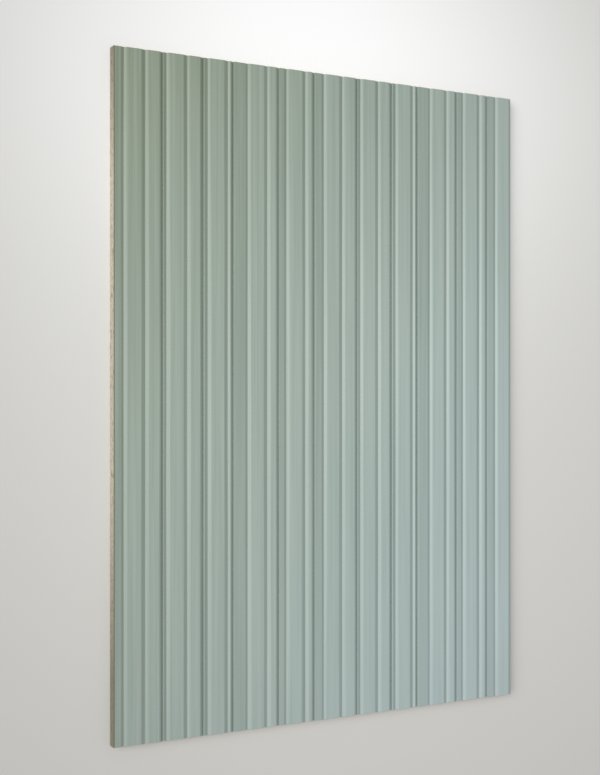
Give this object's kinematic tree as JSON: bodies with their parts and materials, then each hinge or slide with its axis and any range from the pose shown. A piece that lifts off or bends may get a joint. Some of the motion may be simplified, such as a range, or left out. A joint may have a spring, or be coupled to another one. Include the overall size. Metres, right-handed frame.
{
  "type": "ribbed decorative laminate sheet",
  "caption": "Flat wall covering board with a satin decorative face pressed over narrow lengthwise ribs, split by fine slots, cut to a paper-sized sample.",
  "frame": {"origin": "middle of the flat back, which lies on the floor", "axes": "+X across the ribs, +Y along the ribs, +Z from the back out through the ribbed face"},
  "size_m": [0.21, 0.297, 0.005],
  "materials": {
    "fibre_core": "sawn and sanded fibre board, matt",
    "decorative_face": "sage green satin laminate with a faint lengthwise grain"
  },
  "bodies": {
    "root": {"core_board": "fibre_core", "face_laminate": "decorative_face"}
  },
  "joints": []
}
